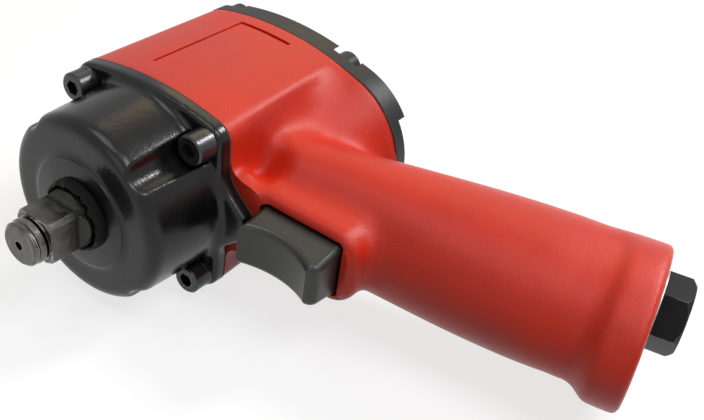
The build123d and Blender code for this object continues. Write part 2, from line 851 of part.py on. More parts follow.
def make_regulator_knob():
    x1 = x_knob + knob_h
    knob = bar(x_knob, x1, knob_d)
    knob = chamfer(knob.edges().sort_by(Axis.X)[-1], knob_bevel)
    bar_l = knob_d - 2 * knob_flute_d
    pointer = plate(RectangleRounded(bar_l, knob_bar_w, knob_bar_w / 2 - snug), x1, x1 + knob_bar_h)
    knob += pointer
    for index in range(knob_flutes):
        flute = bar(x_knob, x1, knob_flute_d, (knob_d + knob_flute_d / 2) / 2)
        knob -= Rot((index + 0.5) * 360 / knob_flutes, 0, 0) * flute
    knob -= plate(hexagon(spool_hex_af + 2 * snug), x_knob, x_knob + spool_hex_l)
    knob -= bar(x_knob, x1 + knob_bar_h, knob_screw_d + 2 * loose)
    knob -= bar(x1 + knob_bar_h - knob_screw_head_h, x1 + knob_bar_h, knob_screw_head_d + 2 * loose)
    return Pos(0, -spool_y, 0) * knob


def make_knob_screw():
    x_top = x_knob + knob_h + knob_bar_h
    x_under = x_top - knob_screw_head_h
    screw = bar(x_under, x_top - loose, knob_screw_head_d)
    screw -= plate(Rectangle(knob_screw_head_d, knob_screw_slot), x_top - knob_screw_slot, x_top)
    screw += bar(x_knob + spool_hex_l - knob_screw_l + loose, x_under, knob_screw_d - 2 * snug)
    return Pos(0, -spool_y, 0) * screw


def make_rear_gasket():
    gasket = plate(rear_outline, x_rear, x_cover) - bar(x_rear, x_cover, motor_bore_d)
    gasket -= bar(x_rear, x_cover, spool_d + 2 * loose, -spool_y)
    return gasket - bolt_holes(x_rear, x_cover, bolt_d + 2 * loose)


# Rear cover: base plate, raised pads with notches for the bolts and the knob, and a spigot
def make_rear_cover():
    pads = barrel_outline(rear_lobe_y, rear_lobe_r, cover_pad_inset)
    for y, z in corners:
        pads -= Pos(y, z) * Circle(cover_notch_r)
    pads -= Pos(-spool_y, 0) * Circle(knob_recess_r)
    cover = plate(rear_outline, x_cover, x_base) + plate(pads, x_base, x_end)
    cover += ring(x_plate_back, x_cover, spigot_d, spigot_d - 2 * spigot_wall)
    cover -= bolt_holes(x_cover, x_base, bolt_d + 2 * loose)
    return cover - bar(x_cover, x_base, spool_d + 2 * running, -spool_y)


def make_air_inlet():
    t_hex = grip_length + inlet_washer_t
    t_end = t_hex + inlet_hex_h
    inlet = grip_plate(Pos(inlet_back, 0) * hexagon(inlet_hex_af), t_hex, t_end)
    bevel = Cone(inlet_hex_af * 0.5 + inlet_hex_h, inlet_hex_af * 0.5, inlet_hex_h)
    bevel = grip_frame * Pos(inlet_back, 0, t_hex + inlet_hex_h / 2) * bevel
    inlet &= bevel
    inlet += grip_bar(grip_length - inlet_neck_l, t_hex, inlet_neck_d - 2 * snug, inlet_back)
    inlet -= grip_bar(t_end - inlet_thread_l, t_end, inlet_thread_d, inlet_back)
    inlet -= grip_bar(grip_length - inlet_neck_l, t_end, inlet_passage_d, inlet_back)
    t_screen = grip_length - inlet_neck_l
    return inlet - grip_bar(t_screen, t_screen + screen_t, screen_d, inlet_back)


def make_inlet_washer():
    washer = grip_bar(grip_length, grip_length + inlet_washer_t, inlet_washer_d, inlet_back)
    return washer - grip_bar(grip_length, grip_length + inlet_washer_t, inlet_neck_d, inlet_back)


def make_inlet_screen():
    t0 = grip_length - inlet_neck_l
    screen = grip_bar(t0, t0 + screen_t, screen_d - 2 * snug, inlet_back)
    for index in range(screen_holes):
        angle = radians(index * 360 / screen_holes)
        back, side = screen_pcd / 2 * cos(angle), screen_pcd / 2 * sin(angle)
        screen -= grip_bar(t0, t0 + screen_t, screen_hole_d, inlet_back + back, side)
    return screen


def make_exhaust_deflector():
    t1 = grip_length - deflector_recess
    outline = exhaust_outline(running)
    slot_l = exhaust_l - 2 * deflector_rim
    pitch = (exhaust_w - 2 * deflector_rim) / deflector_slots
    window = exhaust_outline(deflector_rim)
    for index in range(deflector_slots):
        side = (index - (deflector_slots - 1) / 2) * pitch
        slot = Pos(-exhaust_front, side) * Rectangle(slot_l, deflector_slot_w)
        outline -= slot & window
    return grip_plate(outline, t1 - deflector_t, t1)


def make_muffler():
    t1 = grip_length - deflector_recess - deflector_t
    return grip_plate(exhaust_outline(running), t1 - muffler_t, t1)


parts = {
    "anvil": make_anvil(),
    "socket_retainer_ring": make_retainer_ring(),
    "retainer_o_ring": make_retainer_o_ring(),
    "hammer_case": make_hammer_case(),
    "anvil_bushing": make_anvil_bushing(),
    "hammer_case_bolts": socket_bolts(x_flange - washer_t, -1, washer_t + flange_t + gasket_t),
    "hammer_case_washers": lock_washers(x_flange - washer_t),
    "front_gasket": make_front_gasket(),
    "hammer_cage": make_hammer_cage(),
    "hammer_front": make_hammer(x_hammer_1, 0),
    "hammer_rear": make_hammer(x_hammer_2, 180),
    "hammer_pins": make_hammer_pins(),
    "front_end_plate": make_front_end_plate(),
    "front_bearing": make_bearing(x_bearing_1),
    "motor_cylinder": make_motor_cylinder(),
    "cylinder_dowels": make_cylinder_dowels(),
    "rotor": make_rotor(),
    "rotor_vanes": make_rotor_vanes(),
    "rear_end_plate": make_rear_end_plate(),
    "rear_bearing": make_bearing(x_bearing_2),
    "motor_housing": make_motor_housing(),
    "rear_gasket": make_rear_gasket(),
    "rear_cover": make_rear_cover(),
    "rear_cover_bolts": socket_bolts(x_base + washer_t, 1, washer_t + cover_base + gasket_t),
    "rear_cover_washers": lock_washers(x_base),
    "trigger": make_trigger(),
    "trigger_pin": make_trigger_pin(),
    "throttle_bushing": make_throttle_bushing(),
    "throttle_valve": make_throttle_valve(),
    "throttle_seal": make_throttle_seal(),
    "throttle_spring": make_throttle_spring(),
    "reverse_valve": make_reverse_valve(),
    "spool_o_ring": make_spool_o_ring(),
    "regulator_knob": make_regulator_knob(),
    "knob_screw": make_knob_screw(),
    "air_inlet": make_air_inlet(),
    "inlet_washer": make_inlet_washer(),
    "inlet_screen": make_inlet_screen(),
    "exhaust_deflector": make_exhaust_deflector(),
    "muffler": make_muffler(),
}

os.makedirs("parts", exist_ok=True)
for node, shape in parts.items():
    pieces = shape if isinstance(shape, list) else [shape]
    solids = [solid for piece in pieces for solid in piece.solids()]
    export_step(Compound(children=solids), f"parts/{node}.step")
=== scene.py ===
import math

import bpy
import numpy as np
from mathutils import Matrix, Vector, noise


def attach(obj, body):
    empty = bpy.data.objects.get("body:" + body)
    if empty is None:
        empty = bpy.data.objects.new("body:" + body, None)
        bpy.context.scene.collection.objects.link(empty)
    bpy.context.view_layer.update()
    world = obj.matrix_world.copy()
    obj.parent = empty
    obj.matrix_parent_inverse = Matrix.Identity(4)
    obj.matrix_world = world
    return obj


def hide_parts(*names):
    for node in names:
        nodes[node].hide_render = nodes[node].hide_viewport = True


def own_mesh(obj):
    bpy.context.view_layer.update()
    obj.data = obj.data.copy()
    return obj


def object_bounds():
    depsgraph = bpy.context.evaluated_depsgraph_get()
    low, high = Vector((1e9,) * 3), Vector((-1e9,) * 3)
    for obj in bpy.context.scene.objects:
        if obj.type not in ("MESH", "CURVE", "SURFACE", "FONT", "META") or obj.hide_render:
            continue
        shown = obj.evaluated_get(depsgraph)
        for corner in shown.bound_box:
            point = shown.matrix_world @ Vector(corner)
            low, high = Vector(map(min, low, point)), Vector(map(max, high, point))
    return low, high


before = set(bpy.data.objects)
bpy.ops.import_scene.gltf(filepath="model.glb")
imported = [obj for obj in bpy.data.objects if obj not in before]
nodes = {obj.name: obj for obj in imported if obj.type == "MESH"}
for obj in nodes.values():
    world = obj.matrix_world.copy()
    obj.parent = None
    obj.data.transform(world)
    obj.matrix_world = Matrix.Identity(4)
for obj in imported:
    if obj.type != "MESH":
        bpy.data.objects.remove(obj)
scene = bpy.context.scene
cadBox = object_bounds()


class Sock:
    # one output of a node, on which plain maths adds Math nodes
    def __init__(self, tree, link=None):
        self.tree = tree
        self.link = link

    def make(self, kind, settings=None, inputs=None, out=0):
        node = self.tree.nodes.new("ShaderNode" + kind)
        for key, value in (settings or {}).items():
            setattr(node, key, value)
        for key, value in (inputs or {}).items():
            if isinstance(value, Sock):
                self.tree.links.new(value.link, node.inputs[key])
            else:
                node.inputs[key].default_value = value
        return Sock(self.tree, node.outputs[out] if len(node.outputs) else None)

    def calc(self, operation, first, second):
        return self.make("Math", {"operation": operation}, {0: first, 1: second})

    def __add__(self, other):
        return self.calc("ADD", self, other)

    def __radd__(self, other):
        return self.calc("ADD", other, self)

    def __sub__(self, other):
        return self.calc("SUBTRACT", self, other)

    def __rsub__(self, other):
        return self.calc("SUBTRACT", other, self)

    def __mul__(self, other):
        return self.calc("MULTIPLY", self, other)

    def __rmul__(self, other):
        return self.calc("MULTIPLY", other, self)


# noise scales per metre, the band of a noise over which it fades in, and how far roughness strays
scales = {"wearAndGlint": 260, "cloud": 45, "softCloud": 70, "barPatch": 90, "anvilPatch": 210, "glintSpeck": 1900,
          "bronzeCloud": 120, "pore": 2200, "turned": (2600, 120, 120), "milled": (700, 2400, 2400)}
bands = {"middle": (0.3, 0.7), "wide": (0.25, 0.75), "steel": (0.3, 0.75), "corner": (0.02, 0.22),
         "rubAndGlint": (0.35, 0.7), "glintSpeck": (0.62, 0.7), "pore": (0.08, 0.3)}
strays = {"cast": (0.05, 0.06), "bar": (0.06, 0.08), "anvil": (0.05, 0.1), "soft": (0.05, 0.05)}


def openFinish(name):
    finish = bpy.data.materials.new(name)
    finish.use_nodes = True
    finish.node_tree.nodes.clear()
    return finish, Sock(finish.node_tree)


def closeFinish(bench, values):
    surface = bench.make("BsdfPrincipled", None, values)
    bench.make("OutputMaterial", None, {"Surface": surface})


def onPiece(bench):
    return bench.make("TexCoord", out="Object")


def grain(place, scale, detail=3.0, rough=0.55):
    inputs = {"Vector": place, "Scale": scale, "Detail": detail, "Roughness": rough}
    return place.make("TexNoise", None, inputs)


def stretch(place, steps):
    return place.make("Mapping", None, {"Vector": place, "Scale": steps})


def spread(value, low, high, start=0.0, end=1.0):
    return value.make("MapRange", {"interpolation_type": "SMOOTHSTEP"},
                      {"Value": value, "From Min": low, "From Max": high, "To Min": start, "To Max": end})


def uneven(value, band, rough, stray):
    return spread(value, *band, rough - stray[0], rough + stray[1])


def tint(share, first, second):
    rgba = [tone if isinstance(tone, Sock) else (*tone, 1) for tone in (first, second)]
    return share.make("Mix", {"data_type": "RGBA"}, {0: share, 6: rgba[0], 7: rgba[1]}, out=2)


def relief(height, depth):
    return height.make("Bump", None, {"Height": height, "Distance": depth, "Strength": 1.0}, out="Normal")


def rubbedAndGlintEdges(bench, place, radius, amount):
    # corners lightened where handling has rubbed them and as painted edge highlights, broken up by a coarse
    # noise
    soft = bench.make("Bevel", {"samples": 6}, {"Radius": radius})
    face = bench.make("NewGeometry", out="Normal")
    flatness = bench.make("VectorMath", {"operation": "DOT_PRODUCT"}, {0: soft, 1: face}, out="Value")
    corner = spread(1 - flatness, *bands["corner"])
    return corner * spread(grain(place, scales["wearAndGlint"]), *bands["rubAndGlint"]) * amount


def castFinish(name, look):
    # painted or moulded skin: a fine peel over a slow cloud of tone
    finish, bench = openFinish(name)
    place = onPiece(bench)
    peel = grain(place, look["peel"], 2)
    finePeel = grain(place, look["peel"] * 2.7, 1)
    cloud = grain(place, scales["cloud"])
    # edges lightened for wear and as painted edge highlights
    wearAndGlint = rubbedAndGlintEdges(bench, place, look["edge"], look["wearAndGlint"])
    body = tint(spread(cloud, *bands["middle"]), look["dark"], look["light"])
    rough = uneven(cloud, bands["wide"], look["rough"], strays["cast"])
    closeFinish(bench, {
        "Base Color": tint(wearAndGlint, body, look["wornAndGlint"]),
        "Metallic": look["metal"],
        "Roughness": rough - wearAndGlint * 0.08,
        "Specular IOR Level": look["gloss"],
        "Normal": relief(peel + finePeel * 0.4, look["depth"]),
    })
    return finish


def barSteelFinish(name, look):
    # turned steel with rings round the motor axis
    finish, bench = openFinish(name)
    place = onPiece(bench)
    rings = grain(stretch(place, scales["turned"]), 1.0, 2)
    patch = grain(place, scales["barPatch"], 4)
    # edges lightened for wear and as painted edge highlights
    wearAndGlint = rubbedAndGlintEdges(bench, place, look["edge"], look["wearAndGlint"])
    body = tint(spread(patch, *bands["middle"]), look["dark"], look["light"])
    closeFinish(bench, {
        "Base Color": tint(wearAndGlint, body, look["wornAndGlint"]),
        "Metallic": look["metal"],
        "Roughness": uneven(rings * 0.5 + patch * 0.5, bands["middle"], look["rough"], strays["bar"]),
        "Normal": relief(rings, look["depth"]),
    })
    return finish


def anvilFinish(name, look):
    # milled square of dark steel, which turns dark towards the case: old grease, and painted shade where
    # the shaft goes into the case
    finish, bench = openFinish(name)
    place = onPiece(bench)
    along = place.make("SeparateXYZ", None, {0: place}, out="X")
    marks = grain(stretch(place, scales["milled"]), 1.0)
    patch = grain(place, scales["anvilPatch"], 4, 0.65)
    # bright specks on the grease are painted wet glints
    glintSpecks = spread(grain(place, scales["glintSpeck"], 2), *bands["glintSpeck"])
    # the dark towards the case is part grease and part painted shade
    greaseAndShade = spread(along + (patch - 0.5) * look["greaseShadeWaver"], look["greaseShadeFrom"], look["greaseShadeTo"])
    # edges lightened for wear and as painted edge highlights
    wearAndGlint = rubbedAndGlintEdges(bench, place, look["edge"], look["wearAndGlint"])
    steel = tint(spread(patch, *bands["steel"]), look["dark"], look["light"])
    body = tint(wearAndGlint, steel, look["wornAndGlint"])
    greaseShadeGlints = tint(glintSpecks * 0.5, look["greaseAndShade"], look["light"])
    rough = uneven(patch, bands["wide"], look["rough"], strays["anvil"])
    closeFinish(bench, {
        "Base Color": tint(greaseAndShade, body, greaseShadeGlints),
        "Metallic": 1 - greaseAndShade * 0.75,
        "Roughness": rough + greaseAndShade * 0.06,
        "Normal": relief(marks * 0.25 + patch * greaseAndShade, look["depth"]),
    })
    return finish


def softFinish(name, look):
    # rubber, felt, fibre sheet and resin: a dull body with a fine mottled grain
    finish, bench = openFinish(name)
    place = onPiece(bench)
    fine = grain(stretch(place, look["stretch"]), look["scale"], 4, 0.65)
    cloud = grain(place, scales["softCloud"])
    mottle = spread(fine * 0.6 + cloud * 0.4, *bands["middle"])
    closeFinish(bench, {
        "Base Color": tint(mottle, look["dark"], look["light"]),
        "Roughness": uneven(cloud, bands["wide"], look["rough"], strays["soft"]),
        "Specular IOR Level": look["gloss"],
        "Normal": relief(fine, look["depth"]),
    })
    return finish


def bronzeFinish(name, look):
    # sintered metal with open pores
    finish, bench = openFinish(name)
    place = onPiece(bench)
    pores = place.make("TexVoronoi", None, {"Vector": place, "Scale": scales["pore"]}, out="Distance")
    cloud = grain(place, scales["bronzeCloud"], 4)
    pit = 1 - spread(pores, *bands["pore"])
    body = tint(spread(cloud, *bands["middle"]), look["dark"], look["light"])
    closeFinish(bench, {
        "Base Color": tint(pit * 0.7, body, look["pit"]),
        "Metallic": 1 - pit * 0.5,
        "Roughness": spread(cloud, *bands["wide"], *look["rough"]),
        "Normal": relief(1 - pit, look["depth"]),
    })
    return finish


# red and black paint, black steel and plastic; the worn colour lightens edges for wear and as painted edge
# highlights
paintRed = {"dark": (0.51, 0.018, 0.005), "light": (0.58, 0.025, 0.007), "wornAndGlint": (0.70, 0.09, 0.04),
            "wearAndGlint": 0.2, "edge": 0.0009, "metal": 0.0, "rough": 0.36, "gloss": 0.33,
            "peel": 2600, "depth": 0.00009}
paintBlack = {"dark": (0.002, 0.002, 0.0022), "light": (0.004, 0.004, 0.0042), "wornAndGlint": (0.02, 0.02, 0.02),
              "wearAndGlint": 0.4, "edge": 0.0008, "metal": 0.0, "rough": 0.22, "gloss": 0.36,
              "peel": 900, "depth": 0.00005}
coverBlack = {"dark": (0.006, 0.006, 0.0065), "light": (0.010, 0.010, 0.0105), "wornAndGlint": (0.04, 0.04, 0.04),
              "wearAndGlint": 0.4, "edge": 0.0008, "metal": 0.0, "rough": 0.42, "gloss": 0.30,
              "peel": 1400, "depth": 0.00005}
boltBlack = {"dark": (0.045, 0.045, 0.048), "light": (0.080, 0.080, 0.084), "wornAndGlint": (0.36, 0.36, 0.36),
             "wearAndGlint": 0.7, "edge": 0.0005, "metal": 0.85, "rough": 0.30, "gloss": 0.4,
             "peel": 2400, "depth": 0.00002}
coverBoltBlack = {"dark": (0.012, 0.012, 0.013), "light": (0.022, 0.022, 0.023), "wornAndGlint": (0.16, 0.16, 0.16),
                  "wearAndGlint": 0.5, "edge": 0.0005, "metal": 0.4, "rough": 0.40, "gloss": 0.3,
                  "peel": 2400, "depth": 0.00002}
inletBlack = {"dark": (0.004, 0.004, 0.0045), "light": (0.008, 0.008, 0.0085), "wornAndGlint": (0.30, 0.30, 0.31),
              "wearAndGlint": 0.9, "edge": 0.0006, "metal": 0.5, "rough": 0.33, "gloss": 0.25,
              "peel": 1900, "depth": 0.00003}
triggerGrey = {"dark": (0.014, 0.014, 0.011), "light": (0.021, 0.021, 0.017), "wornAndGlint": (0.05, 0.05, 0.045),
               "wearAndGlint": 0.4, "edge": 0.0008, "metal": 0.0, "rough": 0.28, "gloss": 0.50,
               "peel": 2600, "depth": 0.00003}
knobGrey = {"dark": (0.012, 0.012, 0.013), "light": (0.018, 0.018, 0.019), "wornAndGlint": (0.05, 0.05, 0.05),
            "wearAndGlint": 0.4, "edge": 0.0006, "metal": 0.0, "rough": 0.42, "gloss": 0.34,
            "peel": 2300, "depth": 0.00003}

# bare steel and alloy; the worn colour lightens edges for wear and as painted edge highlights, brightest on
# the anvil
anvilSteel = {"dark": (0.085, 0.082, 0.076), "light": (0.155, 0.150, 0.139), "wornAndGlint": (0.80, 0.79, 0.75),
              "wearAndGlint": 0.9, "edge": 0.0007, "rough": 0.28, "depth": 0.00005, "greaseAndShade": (0.006, 0.006, 0.005),
              "greaseShadeFrom": -0.0052, "greaseShadeTo": -0.0030, "greaseShadeWaver": 0.0045}
satinSteel = {"dark": (0.44, 0.44, 0.43), "light": (0.56, 0.56, 0.55), "wornAndGlint": (0.75, 0.75, 0.74),
              "wearAndGlint": 0.6, "edge": 0.0006, "metal": 1.0, "rough": 0.28, "depth": 0.00002}
noseSteel = {"dark": (0.12, 0.117, 0.110), "light": (0.21, 0.204, 0.192), "wornAndGlint": (0.45, 0.44, 0.42),
             "wearAndGlint": 0.6, "edge": 0.0006, "metal": 1.0, "rough": 0.30, "depth": 0.00003}
hardSteel = {"dark": (0.22, 0.22, 0.22), "light": (0.34, 0.34, 0.335), "wornAndGlint": (0.6, 0.6, 0.6),
             "wearAndGlint": 0.6, "edge": 0.0006, "metal": 1.0, "rough": 0.36, "depth": 0.00003}
washerSteel = {"dark": (0.50, 0.50, 0.49), "light": (0.64, 0.64, 0.62), "wornAndGlint": (0.8, 0.8, 0.78),
               "wearAndGlint": 0.6, "edge": 0.0006, "metal": 1.0, "rough": 0.32, "depth": 0.00002}
brightAlloy = {"dark": (0.58, 0.58, 0.58), "light": (0.70, 0.70, 0.70), "wornAndGlint": (0.8, 0.8, 0.8),
               "wearAndGlint": 0.6, "edge": 0.0006, "metal": 1.0, "rough": 0.36, "depth": 0.00002}

# rubber, grease, fibre, felt and resin; the grease is kept dark also as painted shade round the anvil shaft
rubberBlack = {"dark": (0.010, 0.010, 0.010), "light": (0.020, 0.020, 0.020), "rough": 0.6, "gloss": 0.35,
               "stretch": (1, 1, 1), "scale": 1600, "depth": 0.00004}
greaseShadeDark = {"dark": (0.002, 0.002, 0.0018), "light": (0.010, 0.0097, 0.009), "rough": 0.34, "gloss": 0.12,
              "stretch": (1, 1, 1), "scale": 1500, "depth": 0.0006}
gasketFibre = {"dark": (0.030, 0.028, 0.026), "light": (0.065, 0.060, 0.055), "rough": 0.85, "gloss": 0.2,
               "stretch": (1, 1, 3), "scale": 1200, "depth": 0.00006}
feltGrey = {"dark": (0.10, 0.10, 0.10), "light": (0.24, 0.24, 0.24), "rough": 0.95, "gloss": 0.1,
            "stretch": (1, 1, 1), "scale": 900, "depth": 0.0003}
vaneResin = {"dark": (0.10, 0.05, 0.022), "light": (0.20, 0.11, 0.05), "rough": 0.55, "gloss": 0.4,
             "stretch": (6, 1, 1), "scale": 700, "depth": 0.00003}

# sintered bushes; the greased one is dark with grease and with painted shade round the shaft
bushBronze = {"dark": (0.36, 0.21, 0.09), "light": (0.52, 0.33, 0.15), "pit": (0.06, 0.035, 0.015),
              "rough": (0.34, 0.5), "depth": 0.00008}
bushGreasedShaded = {"dark": (0.010, 0.008, 0.006), "light": (0.030, 0.022, 0.014), "pit": (0.004, 0.003, 0.003),
               "rough": (0.34, 0.5), "depth": 0.00008}

recipes = [
    (castFinish, {
        "redPowderCoat": paintRed, "glossBlackCase": paintBlack, "mattBlackCover": coverBlack,
        "blackBoltSteel": boltBlack, "mattBoltSteel": coverBoltBlack, "blackInletSteel": inletBlack,
        "greyTriggerPlastic": triggerGrey, "greyKnobPlastic": knobGrey,
    }),
    (anvilFinish, {"greasedShadedAnvilSteel": anvilSteel}),
    (barSteelFinish, {
        "satinSteel": satinSteel, "darkNoseSteel": noseSteel, "hardSteel": hardSteel,
        "zincWasher": washerSteel, "brightAlloy": brightAlloy,
    }),
    (softFinish, {
        "blackRubber": rubberBlack, "oldGreaseShade": greaseShadeDark, "gasketFibre": gasketFibre,
        "greyFelt": feltGrey, "vaneResin": vaneResin,
    }),
    (bronzeFinish, {"sinteredBronze": bushBronze, "greasedShadedBush": bushGreasedShaded}),
]
finishes = {name: recipe(name, look) for recipe, looks in recipes for name, look in looks.items()}

slotFinish = {
    "satin_steel": "satinSteel", "hard_steel": "hardSteel", "black_bolt": "blackBoltSteel",
    "case_black": "glossBlackCase", "housing_red": "redPowderCoat", "cover_black": "mattBlackCover",
    "trigger_plastic": "greyTriggerPlastic", "knob_plastic": "greyKnobPlastic",
    "inlet_steel": "blackInletSteel", "washer_steel": "zincWasher", "bronze": "sinteredBronze",
    "gasket_fibre": "gasketFibre", "rubber_black": "blackRubber", "vane_resin": "vaneResin",
    "bright_alloy": "brightAlloy", "felt_grey": "greyFelt",
}
ownFinish = {
    "anvil": "greasedShadedAnvilSteel", "anvil_bushing": "greasedShadedBush", "socket_retainer_ring": "darkNoseSteel",
    "rear_cover_bolts": "mattBoltSteel", "rear_cover_washers": "mattBoltSteel",
}

for name, node in nodes.items():
    slot = node.data.materials[0].name.split(".")[0]
    node.data.materials.clear()
    node.data.materials.append(finishes[ownFinish.get(name, slotFinish[slot])])
print("finishes: %d made and put on the nodes" % len(finishes))

# the tools below take millimetres
weldGap, flushGap, squareCosine, creaseAngle = 0.001, 0.02, 0.99, math.radians(38)


def metres(values):
    return [value / 1000 for value in values]


def workOn(piece):
    bpy.ops.object.select_all(action="DESELECT")
    piece.select_set(True)
    bpy.context.view_layer.objects.active = piece


def mergedCopy(node, name):
    # the solid's loose triangles, merged, as a piece of its own
    piece = bpy.data.objects.new(name, nodes[node].data.copy())
    piece.data.name = name
    scene.collection.objects.link(piece)
    workOn(piece)
    bpy.ops.mesh.customdata_custom_splitnormals_clear()
    bpy.ops.object.mode_set(mode="EDIT")
    bpy.ops.mesh.select_mode(type="VERT")
    bpy.ops.mesh.select_all(action="SELECT")
    bpy.ops.mesh.remove_doubles(threshold=weldGap / 1000)
    bpy.ops.object.mode_set(mode="OBJECT")
    return piece


def applied(piece, kind, settings):
    workOn(piece)
    modifier = piece.modifiers.new(kind.lower(), kind)
    for key, value in settings.items():
        setattr(modifier, key, value)
    bpy.ops.object.modifier_apply(modifier=modifier.name)


def remeshed(piece, voxel):
    applied(piece, "REMESH", {"mode": "VOXEL", "voxel_size": voxel / 1000, "use_smooth_shade": True})


def combined(piece, other, operation):
    applied(piece, "BOOLEAN", {"operation": operation, "solver": "EXACT", "object": other})
    bpy.data.objects.remove(other)


def joined(pieces):
    workOn(pieces[0])
    for piece in pieces:
        piece.select_set(True)
    bpy.ops.object.join()
    return pieces[0]


def points(piece):
    # places of a piece's points
    flat = np.empty(len(piece.data.vertices) * 3)
    piece.data.vertices.foreach_get("co", flat)
    return flat.reshape(-1, 3) * 1000


def pick(piece, chosen):
    # the chosen points alone are selected, and edit mode is open
    workOn(piece)
    mesh = piece.data
    mesh.polygons.foreach_set("select", np.zeros(len(mesh.polygons), bool))
    mesh.edges.foreach_set("select", np.zeros(len(mesh.edges), bool))
    mesh.vertices.foreach_set("select", chosen)
    bpy.ops.object.mode_set(mode="EDIT")


def soften(piece, chosen, repeats):
    pick(piece, chosen)
    bpy.ops.mesh.vertices_smooth(factor=0.5, repeat=repeats)
    bpy.ops.object.mode_set(mode="OBJECT")


def push(piece, spot, move, reach):
    # the nearest point is pulled and its surroundings follow, fading out over the reach
    gap = np.linalg.norm(points(piece) - np.array(spot), axis=1)
    pick(piece, gap <= gap.min())
    bpy.ops.transform.translate(value=metres(move), use_proportional_edit=True,
                                use_proportional_connected=True, proportional_edit_falloff="SMOOTH",
                                proportional_size=reach / 1000)
    bpy.ops.object.mode_set(mode="OBJECT")


def block(low, high):
    bpy.ops.object.select_all(action="DESELECT")
    bpy.ops.mesh.primitive_cube_add(size=1, location=metres((a + b) / 2 for a, b in zip(low, high)))
    piece = bpy.context.object
    piece.scale = metres(b - a for a, b in zip(low, high))
    bpy.ops.object.transform_apply(location=True, rotation=True, scale=True)
    return piece


def cylinder(radius, length, middle, turn, sides):
    bpy.ops.object.select_all(action="DESELECT")
    bpy.ops.mesh.primitive_cylinder_add(vertices=sides, radius=radius / 1000, depth=length / 1000,
                                        location=metres(middle), rotation=turn)
    bpy.ops.object.transform_apply(location=True, rotation=True, scale=True)
    return bpy.context.object


def bevelEdges(piece, wanted, offset, segments):
    # rounds the edges whose two ends pass the test
    workOn(piece)
    bpy.ops.object.mode_set(mode="EDIT")
    bpy.ops.mesh.select_mode(type="EDGE")
    bpy.ops.mesh.select_all(action="DESELECT")
    bpy.ops.object.mode_set(mode="OBJECT")
    for edge in piece.data.edges:
        edge.select = wanted(*(piece.data.vertices[index].co * 1000 for index in edge.vertices))
    bpy.ops.object.mode_set(mode="EDIT")
    bpy.ops.mesh.bevel(offset=offset / 1000, segments=segments, affect="EDGES")
    bpy.ops.mesh.select_mode(type="VERT")
    bpy.ops.object.mode_set(mode="OBJECT")


def roundedBlock(low, high, corner):
    # block with its edges along X rounded
    piece = block(low, high)
    bevelEdges(piece, lambda start, end: abs(start.x - end.x) > flushGap, corner, segments=6)
    return piece


def lengthen(piece, flat, facing, move):
    # faces lying on the plane at this X are drawn out along X
    workOn(piece)
    mesh = piece.data
    centres, normals = np.empty(len(mesh.polygons) * 3), np.empty(len(mesh.polygons) * 3)
    mesh.polygons.foreach_get("center", centres)
    mesh.polygons.foreach_get("normal", normals)
    onFace = np.abs(centres[0::3] * 1000 - flat) < flushGap
    onFace &= normals[0::3] * facing > squareCosine
    bpy.ops.object.mode_set(mode="EDIT")
    bpy.ops.mesh.select_mode(type="FACE")
    bpy.ops.mesh.select_all(action="DESELECT")
    bpy.ops.object.mode_set(mode="OBJECT")
    mesh.polygons.foreach_set("select", onFace)
    bpy.ops.object.mode_set(mode="EDIT")
    bpy.ops.mesh.extrude_region_move(TRANSFORM_OT_translate={"value": (move / 1000, 0, 0)})
    bpy.ops.mesh.select_mode(type="VERT")
    bpy.ops.object.mode_set(mode="OBJECT")


def trim(piece, flat, facing):
    # cuts a piece off square at this X and closes it
    workOn(piece)
    bpy.ops.object.mode_set(mode="EDIT")
    bpy.ops.mesh.select_all(action="SELECT")
    bpy.ops.mesh.bisect(plane_co=(flat / 1000, 0, 0), plane_no=(facing, 0, 0), use_fill=True,
                        clear_outer=True)
    bpy.ops.object.mode_set(mode="OBJECT")


def shown(piece, body, slot, *replaced):
    workOn(piece)
    bpy.ops.object.shade_smooth_by_angle(angle=creaseAngle)
    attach(piece, body)
    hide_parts(*replaced)


